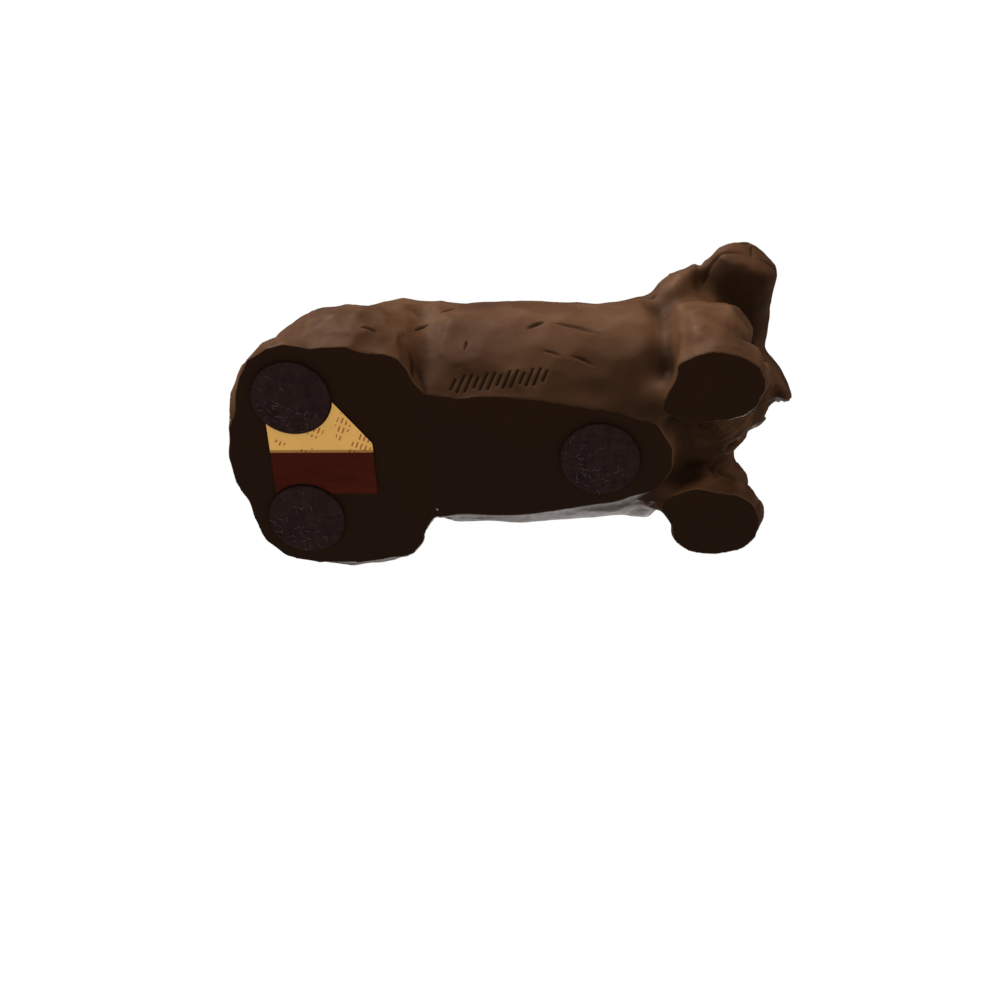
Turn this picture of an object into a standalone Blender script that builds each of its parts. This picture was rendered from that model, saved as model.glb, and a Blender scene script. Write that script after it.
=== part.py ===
"""Dachshund lying on its belly with its head turned to its right.

A one-piece dark brown cast figure with a hand-carved look, on three round felt
pads, with a small paper sticker on its flat underside. +X is the way that the
body points, +Y is the dog's left and +Z is up. The origin is the middle of the
whole figure, on the surface that the pads stand on.
"""
import math
import random

import bmesh
import bpy
from mathutils import Matrix, Vector
from mathutils.kdtree import KDTree

# Driving dimensions, in metres
LENGTH = 0.1335
PAD_DIAMETER = 0.0185
PAD_THICKNESS = 0.0012
PAD_EDGE = 0.0003
STICKER_THICKNESS = 0.0003
STICKER_LENGTH = 0.0245
STICKER_WIDTH = 0.026
STICKER_CORNER_LONG = 0.0095
STICKER_CORNER_WIDE = 0.0123
CLEARANCE = 0.0003

# The figure's forms are shares of its length. One STEP is a millimetre of the
# real figure, and every form below is given in steps.
STEPS_LONG = 133.5
STEP = LENGTH / STEPS_LONG

# Fineness of the casting's surface
GRAIN = 0.95 * STEP
SMOOTH_PASSES = 6
CAST_TRIANGLES = 8800

# Knife-cut facets, in steps
FACET = 5.5
FACET_DEPTH = 0.26
KNIFE_SEED = 7

# Paws, hind feet and the fur of the chest, in steps
PAW_Y = 18.0
FOOT_Y = 19.0
CHEST_LOCKS = 5
CHEST_FUR_WIDTH = 16.0

# Sides of each round pad, and the edge angle above which shading stays sharp
PAD_SIDES = 48
SHARP_ANGLE = math.radians(35.0)

# Places of the pads and the sticker on the underside, in steps
PAD_REAR_X = -46.8
PAD_REAR_Y = 16.3
PAD_FRONT_X = 23.8
STICKER_FRONT_X = -29.0
STICKER_RIGHT_Y = 16.5

# Head: place of the skull's middle, and how far it is turned and bowed
HEAD_PLACE = Vector((53.0, -6.0, 54.5))
HEAD_TURN = math.radians(-74.0)
HEAD_BOW = math.radians(6.0)
HEAD_MATRIX = (
    Matrix.Translation(HEAD_PLACE)
    @ Matrix.Rotation(HEAD_TURN, 4, "Z")
    @ Matrix.Rotation(HEAD_BOW, 4, "Y")
)


def clear_scene():
    """Take every object out of the open file."""
    for item in list(bpy.data.objects):
        bpy.data.objects.remove(item, do_unlink=True)


def material(name, colour, roughness, metallic=0.0):
    """Plain Principled material of one sub-part."""
    made = bpy.data.materials.new(name)
    made.use_nodes = True
    shader = made.node_tree.nodes["Principled BSDF"]
    shader.inputs["Base Color"].default_value = (*colour, 1.0)
    shader.inputs["Roughness"].default_value = roughness
    shader.inputs["Metallic"].default_value = metallic
    return made


def add_object(name, mesh, finish):
    """Named object for a mesh, with its material."""
    made = bpy.data.objects.new(name, mesh)
    bpy.context.scene.collection.objects.link(made)
    mesh.materials.clear()
    mesh.materials.append(finish)
    return made


def shade_round(mesh):
    """Smooth shading that keeps the real edges sharp."""
    mesh.shade_smooth()
    mesh.set_sharp_from_angle(angle=SHARP_ANGLE)


def oval(form, centre, radii, turn=0.0, tilt=0.0):
    """Ellipsoid, turned about Z after it is tilted about Y."""
    place = (
        Matrix.Translation(Vector(centre))
        @ Matrix.Rotation(turn, 4, "Z")
        @ Matrix.Rotation(tilt, 4, "Y")
        @ Matrix.Diagonal((*radii, 1.0))
    )
    bmesh.ops.create_icosphere(form, subdivisions=4, radius=1.0, matrix=place)


def both_sides(form, centre, radii, turn=0.0, tilt=0.0):
    """The same ellipsoid on the right and, mirrored, on the left."""
    x, y, z = centre
    oval(form, (x, y, z), radii, turn, tilt)
    oval(form, (x, -y, z), radii, -turn, tilt)


def between(stations, share):
    """Smooth value at a share of the way along a list of stations."""
    at = share * (len(stations) - 1)
    first = min(int(at), len(stations) - 2)
    t = at - first
    rows = [
        stations[max(first - 1, 0)],
        stations[first],
        stations[first + 1],
        stations[min(first + 2, len(stations) - 1)],
    ]
    values = []
    for before, start, end, after in zip(*rows):
        pull_in = (end - before) / 2
        pull_out = (after - start) / 2
        rise = end - start
        values.append(
            start
            + pull_in * t
            + (3 * rise - 2 * pull_in - pull_out) * t ** 2
            + (pull_in + pull_out - 2 * rise) * t ** 3
        )
    return values


def limb(form, stations, rings=18, sides=24, across=(0.0, 1.0, 0.0), upright=False):
    """Closed tube through stations of x, y, z, half width and half height."""
    rows = [between(stations, index / (rings - 1)) for index in range(rings)]
    middles = [Vector(row[:3]) for row in rows]
    loops = []
    for index, row in enumerate(rows):
        ahead = middles[min(index + 1, rings - 1)] - middles[max(index - 1, 0)]
        forward = Vector((1.0, 0.0, 0.0)) if upright else ahead.normalized()
        side = Vector(across)
        side = (side - forward * side.dot(forward)).normalized()
        rise = forward.cross(side)
        turn = Matrix((side, rise, forward)).transposed().to_4x4()
        place = Matrix.Translation(middles[index]) @ turn @ Matrix.Diagonal((row[3], row[4], 1.0, 1.0))
        end_ring = index in (0, rings - 1)
        ring = bmesh.ops.create_circle(form, cap_ends=end_ring, segments=sides, radius=1.0, matrix=place)
        loops.append(list({edge for vert in ring["verts"] for edge in vert.link_edges}))
    for near, far in zip(loops, loops[1:]):
        bmesh.ops.bridge_loops(form, edges=near + far)


def mirrored(stations):
    """Stations of the other side's limb."""
    return [(x, -y, z, wide, high) for x, y, z, wide, high in stations]


def trunk(form):
    """Barrel of the body, from the rump to the chest."""
    limb(form, [
        (-63.2, 0, 11, 15, 13),
        (-57, 0, 15, 20.5, 19),
        (-42, 0, 19.2, 25.2, 25.6),
        (-27, 0, 20.6, 28.1, 29.1),
        (-12, 0, 22.3, 26.9, 27.8),
        (4, 0, 22.4, 27.1, 27.7),
        (19, 0, 23.2, 26.4, 27),
        (32, 0, 25, 25.5, 27),
        (44, 0, 28, 20, 22),
        (56, 0, 30, 13, 14),
    ], rings=40, sides=36, upright=True)


def hindquarters(form):
    """Rump, the two thighs and the hind feet lying beside the belly."""
    oval(form, (-40, 0, 20), (19.5, 24.2, 26.2))
    oval(form, (-50.5, 0, 4), (14, 17, 13))
    both_sides(form, (-34, -15.7, 12), (20, 15.9, 20.4), turn=math.radians(6))
    both_sides(form, (-46, -13.5, 1.5), (14.6, 16.3, 17))
    both_sides(form, (-45.5, -11.8, 14), (12.5, 15.5, 17))
    both_sides(form, (-37, -18, 1), (18, 11.3, 13), turn=math.radians(4))
    both_sides(form, (-26.2, -17.6, 1), (8.8, 10, 10))


def tail(form):
    """Tail curled round the left haunch."""
    limb(form, [
        (-55, 5, 16, 5.5, 5.5),
        (-58, 15, 9, 4.6, 4.6),
        (-52, 24, 5, 4.0, 4.0),
        (-38, 29, 4, 3.4, 3.4),
        (-22, 27, 3, 2.4, 2.4),
    ], rings=28, sides=16, across=(0, 0, 1))


def forequarters(form):
    """Shoulders, chest, neck and the forelegs with their paws."""
    both_sides(form, (32.5, -14.4, 25), (12.5, 12.2, 20.2))
    oval(form, (43, -14, 33), (11, 12, 15))
    oval(form, (37, 11, 29), (14, 13, 17))
    oval(form, (40, 3, 37), (15, 14, 13))
    oval(form, (46, -16, 46), (9, 8, 15))
    oval(form, (45.6, 0, 30), (16, 14, 25))
    oval(form, (56.2, -1, 29), (9, 10, 9))
    oval(form, (32, 0, 2), (9, 10.4, 8))
    both_sides(form, (37.5, -12.5, 6.5), (6, 5, 6.2))
    both_sides(form, (46.5, -21, 2), (6.5, 5.4, 6))
    leg = [
        (44, -19, 27, 8, 8),
        (46.5, -20, 15, 9.8, 8),
        (50, -18, 5, 10, 8.5),
        (54, -16, 3, 9, 7),
    ]
    limb(form, leg)
    limb(form, mirrored(leg))
    both_sides(form, (50.5, -PAW_Y, 2), (10.2, 8.6, 11))
    both_sides(form, (46, -15, 1), (7.5, 6.5, 8))
    both_sides(form, (49, -19, 17), (9.5, 10.2, 15), tilt=math.radians(14))
    both_sides(form, (52, -18, 5), (10, 9, 9))
    limb(form, [
        (24, 0, 30, 22, 18),
        (38, -2, 40, 18, 16),
        (48, -4, 49, 13, 13),
        (54, -6, 54, 10, 10),
    ])


def ears(form):
    """Left ear hanging before the chest, and the right one over the shoulder."""
    limb(form, [
        (59, -3, 61, 4, 2.6),
        (60.6, -3.5, 55, 6, 2.4),
        (62.4, -3.5, 46, 6.4, 2.4),
        (64.8, -3, 37, 5.8, 2.5),
        (66.1, -1.8, 29.8, 4.3, 2.3),
        (65.8, -1.2, 26.8, 2.4, 1.8),
    ], rings=22, sides=20, across=(0.62, 0.78, 0))
    limb(form, [
        (46, -12, 61, 4, 2.6),
        (44.5, -17, 57, 7.2, 2.6),
        (42.1, -20.2, 49.7, 9.4, 2.9),
        (39.4, -23.6, 40, 9.2, 2.8),
        (38, -23.6, 32, 6, 2.0),
    ], rings=22, sides=20, across=(0.75, -0.66, 0))


def head(form):
    """Skull, muzzle, cheeks and brows, made facing +X and then turned."""
    made = bmesh.new()
    oval(made, (0, 0, 0), (13.5, 11.5, 12))
    limb(made, [
        (2, 0.3, -3, 11.6, 10),
        (9, -0.5, -4, 10.8, 9),
        (17, -0.7, -5.5, 9.6, 7.8),
        (23, -0.4, -6, 8.8, 6.9),
        (26, -0.2, -6, 8.2, 5.8),
    ])
    oval(made, (25.2, -0.3, -2.4), (2.6, 4.6, 2.8))
    both_sides(made, (3, -5.5, -6), (8.5, 5.5, 7))
    oval(made, (11, -5.6, -5), (7.5, 5, 6.2))
    both_sides(made, (8.5, -4.8, 4.4), (4, 3.4, 3))
    bmesh.ops.transform(made, matrix=HEAD_MATRIX, verts=made.verts)
    mesh = bpy.data.meshes.new("head")
    made.to_mesh(mesh)
    made.free()
    form.from_mesh(mesh)
    bpy.data.meshes.remove(mesh)


def evaluated(item):
    """The object's mesh with its modifiers applied."""
    graph = bpy.context.evaluated_depsgraph_get()
    return bpy.data.meshes.new_from_object(item.evaluated_get(graph))


def fused_forms():
    """All the forms fused into one even, softened skin."""
    form = bmesh.new()
    trunk(form)
    hindquarters(form)
    tail(form)
    forequarters(form)
    head(form)
    ears(form)
    bmesh.ops.recalc_face_normals(form, faces=form.faces)
    bmesh.ops.scale(form, vec=(STEP, STEP, STEP), verts=form.verts)
    mesh = bpy.data.meshes.new("forms")
    form.to_mesh(mesh)
    form.free()
    rough = bpy.data.objects.new("forms", mesh)
    bpy.context.scene.collection.objects.link(rough)
    skin = rough.modifiers.new("fuse", "REMESH")
    skin.mode = "VOXEL"
    skin.voxel_size = GRAIN
    soften = rough.modifiers.new("soften", "SMOOTH")
    soften.factor = 0.5
    soften.iterations = SMOOTH_PASSES
    fused = evaluated(rough)
    bpy.data.objects.remove(rough, do_unlink=True)
    return fused


def keep_outer_skin(form):
    """Delete every closed pocket between the forms, so that the casting is solid."""
    left = set(form.verts)
    shells = []
    while left:
        shell = [left.pop()]
        for vert in shell:
            for edge in vert.link_edges:
                other = edge.other_vert(vert)
                if other in left:
                    left.remove(other)
                    shell.append(other)
        shells.append(shell)
    outer = max(shells, key=len)
    inner = [vert for shell in shells if shell is not outer for vert in shell]
    bmesh.ops.delete(form, geom=inner, context="VERTS")


def groove(form, stations, width, depth, lift=4.0):
    """Press a soft channel into the skin along a path, all in steps."""
    count = 14 * (len(stations) - 1)
    path = [Vector(between(stations, index / count)) * STEP for index in range(count + 1)]
    near = KDTree(len(path))
    for index, point in enumerate(path):
        near.insert(point, index)
    near.balance()
    moves = []
    for vert in form.verts:
        point, _, away = near.find(vert.co)
        if away > (width + lift) * STEP:
            continue
        offset = vert.co - point
        height = offset.dot(vert.normal)
        aside = (offset - vert.normal * height).length / (width * STEP)
        if aside < 1.0 and abs(height) < lift * STEP:
            moves.append((vert, vert.normal * (depth * STEP * (1.0 - aside ** 2) ** 2)))
    for vert, move in moves:
        vert.co -= move
    form.normal_update()


def body_grooves(form):
    """Valleys by the thighs and elbows, and the toes, on both sides."""
    for side in (-1, 1):
        thigh = [(-19, side * 28, 25), (-17, side * 27, 16), (-16, side * 21, 6)]
        groove(form, thigh, 5.5, 1.8)
        elbow = [(37, side * 25, 28), (39.5, side * 21, 17), (39.5, side * 17, 9)]
        groove(form, elbow, 5.5, 2.2, lift=7.0)
        shoulder = [(13, side * 25, 32), (22, side * 27, 36), (32, side * 26, 36)]
        groove(form, shoulder, 3.0, 0.7)
        for toe in (-2.9, 2.9):
            middle = side * PAW_Y + toe
            groove(form, [(63, middle, 1), (60, middle, 7), (55, middle, 11)], 1.5, 1.1)
            middle = side * FOOT_Y + toe
            groove(form, [(-15.5, middle, 1), (-17.5, middle, 6), (-22, middle, 10)], 1.5, 0.9)


def chest_grooves(form):
    """Locks of fur running down the chest between the forelegs."""
    for lock in range(CHEST_LOCKS):
        y = CHEST_FUR_WIDTH * (lock / (CHEST_LOCKS - 1) - 0.5)
        groove(form, [(66, y * 1.1, 27), (63, y, 18), (58, y * 0.8, 9)], 1.7, 0.8)


def head_grooves(form):
    """Mouth, eye rims and the edge of each ear."""
    for side in (-1, 1):
        mouth = [(28, side * 1, -7.5), (24, side * 7, -8), (17, side * 8.5, -9), (9, side * 9.5, -9.5)]
        groove(form, [HEAD_MATRIX @ Vector(point) for point in mouth], 1.3, 0.55)
        rim = [
            (9.5 + 2.6 * math.cos(angle), side * 7.2, 2.4 + 2.0 * math.sin(angle))
            for angle in (math.tau * index / 8 for index in range(9))
        ]
        groove(form, [HEAD_MATRIX @ Vector(point) for point in rim], 1.2, 0.9)


def whittle(form, spacing, depth, lean=0.6):
    """Cut the skin into flat facets, as a knife does, one at each chosen place."""
    order = list(range(len(form.verts)))
    random.Random(KNIFE_SEED).shuffle(order)
    form.verts.ensure_lookup_table()
    near = KDTree(len(form.verts))
    for vert in form.verts:
        near.insert(vert.co, vert.index)
    near.balance()
    free = [True] * len(form.verts)
    cuts = []
    for index in order:
        if free[index]:
            vert = form.verts[index]
            cuts.append((vert.co.copy(), vert.normal.copy()))
            for _, close, _ in near.find_range(vert.co, spacing * STEP):
                free[close] = False
    normals = [vert.normal.copy() for vert in form.verts]
    chip = depth * STEP
    for point, normal in cuts:
        for _, index, _ in near.find_range(point, 1.3 * spacing * STEP):
            vert = form.verts[index]
            above = (vert.co - point).dot(normal) + chip
            if above > 0.0 and normals[index].dot(normal) > lean:
                hold = min(1.0, max(0.0, (2.6 * chip - above) / (1.4 * chip)))
                vert.co -= normal * (above * hold)


def cast_mesh():
    """The skin with its channels and its knife-cut facets."""
    mesh = fused_forms()
    form = bmesh.new()
    form.from_mesh(mesh)
    keep_outer_skin(form)
    form.normal_update()
    body_grooves(form)
    chest_grooves(form)
    head_grooves(form)
    whittle(form, FACET, FACET_DEPTH)
    bmesh.ops.smooth_vert(form, verts=form.verts, factor=0.5)
    form.to_mesh(mesh)
    form.free()
    return mesh


def hidden_cutter(name, form):
    """Object for a shape that only cuts another, kept out of the model."""
    mesh = bpy.data.meshes.new(name)
    form.to_mesh(mesh)
    form.free()
    cutter = bpy.data.objects.new(name, mesh)
    bpy.context.scene.collection.objects.link(cutter)
    cutter.hide_render = True
    cutter.display_type = "WIRE"
    return cutter


def disc(diameter, thickness, x, y, middle_z):
    """Flat round shape, standing for a pad or the hole that it leaves."""
    form = bmesh.new()
    place = Matrix.Translation((x, y, middle_z))
    radius = diameter / 2
    bmesh.ops.create_cone(
        form, cap_ends=True, segments=PAD_SIDES, radius1=radius, radius2=radius,
        depth=thickness, matrix=place,
    )
    return form


def casting(finish):
    """The dachshund itself, cut flat below."""
    body = add_object("dachshund_casting", cast_mesh(), finish)
    thin = body.modifiers.new("fewer_faces", "DECIMATE")
    thin.ratio = min(1.0, CAST_TRIANGLES / (2 * len(body.data.polygons)))
    thin.use_collapse_triangulate = True
    ground = bmesh.new()
    bmesh.ops.create_cube(ground, size=2 * LENGTH, matrix=Matrix.Translation((0, 0, -LENGTH)))
    below = hidden_cutter("ground_cutter", ground)
    cut = body.modifiers.new("flat_underside", "BOOLEAN")
    cut.operation = "DIFFERENCE"
    cut.object = below
    flat = evaluated(body)
    body.modifiers.clear()
    body.data = flat
    bpy.data.objects.remove(below, do_unlink=True)
    shade_round(flat)
    return body


def felt_pad(name, x, y, finish):
    """Round felt pad with a softened lower edge, under the casting."""
    low = -CLEARANCE - PAD_THICKNESS
    form = disc(PAD_DIAMETER, PAD_THICKNESS, x * STEP, y * STEP, low + PAD_THICKNESS / 2)
    rim = [edge for edge in form.edges if all(vert.co.z < low + PAD_EDGE / 2 for vert in edge.verts)]
    bmesh.ops.bevel(form, geom=rim, offset=PAD_EDGE, segments=2, profile=0.5, affect="EDGES")
    mesh = bpy.data.meshes.new(name)
    form.to_mesh(mesh)
    form.free()
    shade_round(mesh)
    return add_object(name, mesh, finish)


def sticker(pads, finish):
    """Paper sticker on the underside, one corner cut off, cut round by the rear pads' edges."""
    front = STICKER_FRONT_X * STEP
    right = -STICKER_RIGHT_Y * STEP
    rear = front - STICKER_LENGTH
    left = right + STICKER_WIDTH
    outline = [
        (rear, right),
        (front - STICKER_CORNER_LONG, right),
        (front, right + STICKER_CORNER_WIDE),
        (front, left),
        (rear, left),
    ]
    form = bmesh.new()
    low = -CLEARANCE - STICKER_THICKNESS
    sheet = form.faces.new([form.verts.new((x, y, low)) for x, y in outline])
    raised = bmesh.ops.extrude_face_region(form, geom=[sheet])["geom"]
    top = [item for item in raised if isinstance(item, bmesh.types.BMVert)]
    bmesh.ops.translate(form, vec=(0, 0, STICKER_THICKNESS), verts=top)
    bmesh.ops.recalc_face_normals(form, faces=form.faces)
    mesh = bpy.data.meshes.new("paper_sticker")
    form.to_mesh(mesh)
    form.free()
    paper = add_object("paper_sticker", mesh, finish)
    for x, y in pads:
        hole = disc(PAD_DIAMETER + 2 * CLEARANCE, 4 * PAD_THICKNESS, x * STEP, y * STEP, low)
        cut = paper.modifiers.new("pad_edge", "BOOLEAN")
        cut.operation = "DIFFERENCE"
        cut.object = hidden_cutter("pad_cutter", hole)
    return paper


def stand_at_origin(figure, pieces):
    """Move every piece so that the origin is under the figure's middle."""
    corners = [vert.co for vert in figure.data.vertices]
    middle_x = (min(co.x for co in corners) + max(co.x for co in corners)) / 2
    middle_y = (min(co.y for co in corners) + max(co.y for co in corners)) / 2
    shift = Vector((-middle_x, -middle_y, PAD_THICKNESS + CLEARANCE))
    for piece in pieces:
        piece.location += shift


def main():
    clear_scene()
    resin = material("dark brown resin", (0.045, 0.022, 0.012), 0.55)
    felt = material("brown felt", (0.022, 0.012, 0.012), 0.95)
    paper = material("cream paper", (0.60, 0.36, 0.10), 0.6)
    figure = casting(resin)
    rear_right = (PAD_REAR_X, -PAD_REAR_Y)
    rear_left = (PAD_REAR_X, PAD_REAR_Y)
    pieces = [
        figure,
        felt_pad("felt_pad_rear_right", *rear_right, felt),
        felt_pad("felt_pad_rear_left", *rear_left, felt),
        felt_pad("felt_pad_front", PAD_FRONT_X, 0.0, felt),
        sticker([rear_right, rear_left], paper),
    ]
    cutters = [item for item in bpy.data.objects if item.type == "MESH" and item.hide_render]
    stand_at_origin(figure, pieces + cutters)


main()
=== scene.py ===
"""Carved dachshund on felt pads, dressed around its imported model.

Laid out as a Blender add-on and run as a script. The casting gets its knife
cuts, fur, face and wear, the pads their felt, the sticker its paper, and the
stage holds the floor, the lights and the camera.
"""
import math
import random

import bmesh
import bpy
import numpy as np
from mathutils import Matrix, Vector, noise
from mathutils.bvhtree import BVHTree
from mathutils.kdtree import KDTree


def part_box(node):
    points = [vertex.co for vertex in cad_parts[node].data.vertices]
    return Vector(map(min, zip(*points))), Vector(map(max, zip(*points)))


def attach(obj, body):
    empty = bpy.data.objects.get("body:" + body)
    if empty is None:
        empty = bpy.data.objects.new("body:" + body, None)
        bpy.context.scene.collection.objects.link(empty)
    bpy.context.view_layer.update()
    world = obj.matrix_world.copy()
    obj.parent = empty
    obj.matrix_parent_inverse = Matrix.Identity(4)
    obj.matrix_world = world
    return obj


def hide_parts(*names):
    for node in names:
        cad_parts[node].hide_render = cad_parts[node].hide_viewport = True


bl_info = {
    "name": "Carved Dachshund",
    "version": (1, 0, 0),
    "blender": (4, 5, 0),
    "location": "3D View > Sidebar > Dachshund",
    "description": "Dresses the cast dachshund, its felt pads and its sticker",
    "category": "Add Mesh",
}

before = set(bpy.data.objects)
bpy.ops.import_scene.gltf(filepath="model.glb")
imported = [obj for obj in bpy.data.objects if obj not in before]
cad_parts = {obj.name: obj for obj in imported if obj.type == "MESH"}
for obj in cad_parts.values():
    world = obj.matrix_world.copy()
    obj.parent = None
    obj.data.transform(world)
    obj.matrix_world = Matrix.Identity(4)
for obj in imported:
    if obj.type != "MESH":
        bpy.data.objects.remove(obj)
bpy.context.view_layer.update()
MM = 0.001

# The camera that looks up at the underside and the right flank
PHOTO_SIDE = 1000.0
FOCAL_LENGTH = 1507.0
CAMERA_AIM = Vector((-2.34, 11.69, 1.5)) * MM
CAMERA_AWAY = 356.0 * MM
CAMERA_AZIMUTH = math.radians(10.2)
CAMERA_ELEVATION = math.radians(-57.9)
CAMERA_ROLL = math.radians(8.67)
SENSOR_SIDE = 36.0

# The flat base, the walls that the skin has below it while it is carved, and its chamfer
BASE_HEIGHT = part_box("dachshund_casting")[0].z
WALLS_BELOW = 8.0 * MM
CHAMFER_HIGH = 0.45 * MM
CHAMFER_IN = 0.3 * MM
MERGE_REACH = 0.001 * MM

# The paws: how far their middles lie aside, and the lines between the toes, in millimetres
PAW_SIDE = 18.0
FOOT_SIDE = 19.0
TOE_ASIDE = 3.1
PAW_FRONT = 50.0

# The head: its place and turn in the figure; the places on it look along its own +X, in millimetres
HEAD_MATRIX = (
    Matrix.Translation(Vector((50.66, -5.81, 56.0)))
    @ Matrix.Rotation(math.radians(-74.0), 4, "Z")
    @ Matrix.Rotation(math.radians(6.0), 4, "Y")
)

EYE_MIDDLE = (12.6, 6.9, 2.9)
EYE_LONG = 2.3
EYE_HIGH = 1.4
EYE_POINTS = 80
LID_LINE = ((-3.0, 0.5), (-1.3, 2.1), (1.3, 2.1), (3.0, 0.5))
MOUTH_LINE = ((28.5, 1.2, -7.0), (24.5, 6.8, -7.2), (17, 9.0, -7.8), (10, 10, -7.0))
NOSTRIL_LINE = ((27.8, 1.5, -2.6), (27.0, 2.8, -2.2))
LIP_LINE = ((28, 0, -3.8), (28, 0, -6.8))

# Nicks of the knife: start and end by the photograph's pixels, width and depth in millimetres
NICKS = [
    ((361, 327), (378, 333), 0.70, 0.50),
    ((415, 331), (429, 324), 0.75, 0.55),
    ((440, 313), (456, 308), 0.55, 0.40),
    ((467, 341), (465, 351), 0.55, 0.40),
    ((527, 329), (545, 322), 0.75, 0.55),
    ((550, 323), (602, 335), 0.80, 0.35),
    ((543, 351), (562, 357), 0.50, 0.30),
    ((571, 356), (594, 366), 0.55, 0.35),
]
NICK_REACHES = (1.9, 1.3)

# Ears: middle places in millimetres, each with the ear's reach behind and before it
LEFT_EAR = (
    ((58.3, -3.3, 56.5), 6.0, 6.0),
    ((60.1, -3.3, 47.5), 6.4, 6.4),
    ((62.5, -2.8, 38.5), 5.8, 5.8),
)
LEFT_EAR_ACROSS = (0.62, 0.78, 0)
RIGHT_EAR = (
    ((42.2, -16.8, 58.5), 7.2, 2.8),
    ((39.8, -20.0, 51.2), 9.4, 8.0),
    ((38.4, -22.1, 45.6), 8.8, 8.2),
)
RIGHT_EAR_ACROSS = (0.75, -0.66, 0)

# Painted shade round the elbow: places by pixels, with their reach in millimetres and how dark they are
SHADE_SPOTS = (
    ((655, 352), 7, 0.45),
    ((660, 382), 7, 0.40),
    ((738, 340), 7, 0.25),
    ((618, 372), 12, 0.18),
)

# Rounded places where the knife left no facets: middle, reach and rounds of smoothing.
# The muzzle's middle is on the head, the shoulder's in the figure, the rest are by pixels.
MUZZLE_ROUNDED = ((20, 0, -7), 13, 30)
SHOULDER_ROUNDED = ((37, 23, 33), 8, 24)
HOLLOW_ROUNDS = 14
SMOOTH_HOLLOWS = (
    ((681, 293), 6),
    ((646, 307), 6),
    ((655, 335), 8),
    ((655, 352), 8),
    ((660, 382), 8),
    ((700, 286), 8),
    ((428, 380), 7),
)

# Places with finer faces for the carving: the head's on the head, the chest's in the figure
FINE_HEAD = ((12, 0, -2), 17)
FINE_CHEST = ((58, 0, 17), 14)
FINE_STROKES = (4.6, 4.0)

# Tail: the crease above it and its back, in millimetres
TAIL_CREASE = (
    (-51, 7, 25), (-56, 15, 17), (-51, 25.5, 12.2), (-39, 30.5, 10.4), (-26, 29, 8.6), (-19, 25, 6.5),
)
TAIL_BACK = ((-62, 6, 16), (-64, 16, 10.5), (-56, 27, 6.5), (-40, 32.5, 5.5), (-26, 30, 4.5))

# Row of plain strokes on the right flank, by the photograph's pixels, darkened with painted shade
STROKES_FROM = Vector((453.0, 385.0))
STROKES_TO = Vector((545.0, 376.0))
STROKE_COUNT = 13
STROKE_HALF = 8.0
STROKE_LEAN = 3.5
STROKE_WIDTH = 0.50
STROKE_DEPTH = 0.32

# Chest fur: locks side by side, seen from the front, in millimetres
LOCK_COUNT = 23
LOCK_SPREAD = 22.0
LOCK_TOP = 29.0
LOCK_FOOT = 5.0

# A knife cut: how hollow it is on flat stretches, how its spacing and depth vary,
# how far it reaches past its spacing and how far the skin may turn away inside it
CUT_HOLLOW = 60.0 * MM
CUT_SPACINGS = (0.75, 1.1)
CUT_DEPTHS = (0.85, 1.15)
CUT_REACH = 1.5
CUT_FACING = 0.4

# Rounds of averaging that tell near ridges and hollows from wide ones
NEAR_ROUNDS = 13
HOLLOW_SHARE_ROUNDS = 40
WIDE_ROUNDS = 90
CREASE_ANGLE = math.radians(38)

# Short nicks scattered over the sides that the photograph doesn't show
HIDDEN_NICKS = 14

# Felt discs: sides round the rim, rings from the rim inwards, and cuts up the rim's wall
DISC_SIDES = 120
DISC_RINGS = 22
RIM_CUTS = 5

# Lamps: name, direction, share of the key light, and whether the gloss shows them
LAMPS = (
    ("flank_lamp", (-0.38, -0.76, 0.50), 1.0, True),
    ("top_lamp", (-0.15, 0.25, 0.95), 0.5, False),
    ("left_lamp", (0.10, 0.85, 0.40), 0.6, True),
)
LAMP_ANGLE = math.radians(34)
FLOOR_HALF = 12.0


class DachshundSkin(bpy.types.PropertyGroup):
    """Sizes and colours of the carved casting."""

    grain: bpy.props.FloatProperty(
        name="Grain", description="Size of the skin's faces", default=0.82 * MM, unit="LENGTH")
    cut_long: bpy.props.FloatProperty(
        name="Knife cut", description="Distance between cuts round the haunches", default=6.2 * MM,
        unit="LENGTH")
    cut_depth: bpy.props.FloatProperty(
        name="Cut depth", description="Depth of a knife cut", default=1.15 * MM, unit="LENGTH")
    cut_lean: bpy.props.FloatProperty(
        name="Cut lean", description="Slope of a cut against the surface", default=0.07)
    fine_cut_long: bpy.props.FloatProperty(
        name="Fine cut", description="Distance between the fine cuts", default=3.0 * MM, unit="LENGTH")
    fine_cut_depth: bpy.props.FloatProperty(
        name="Fine cut depth", description="Depth of a fine cut", default=0.12 * MM, unit="LENGTH")
    # The underside's colour, partly its own and partly painted shade; it also paints shade on skin that looks
    # down
    underside_and_shade: bpy.props.FloatVectorProperty(
        name="Underside", description="Colour of the flat underside, and of the shade painted on skin that looks down", subtype="COLOR",
        default=(0.0185, 0.0078, 0.0040))
    resin_dark: bpy.props.FloatVectorProperty(
        name="Dark resin", description="Colour in the darker cuts", subtype="COLOR",
        default=(0.054, 0.0200, 0.0075))
    resin_mid: bpy.props.FloatVectorProperty(
        name="Resin", description="Main colour", subtype="COLOR", default=(0.092, 0.0370, 0.0145))
    resin_light: bpy.props.FloatVectorProperty(
        name="Light resin", description="Colour in the paler cuts", subtype="COLOR",
        default=(0.135, 0.0610, 0.0265))
    rubbed: bpy.props.FloatVectorProperty(
        name="Rubbed", description="Colour of the rubbed ridges", subtype="COLOR",
        default=(0.200, 0.100, 0.050))
    # Painted shade: the colour that darkens the hollows, and darker still the cuts
    painted_shade: bpy.props.FloatVectorProperty(
        name="Painted shade", description="Colour of the shade painted into hollows and cuts", subtype="COLOR",
        default=(0.021, 0.0080, 0.0028))


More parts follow.
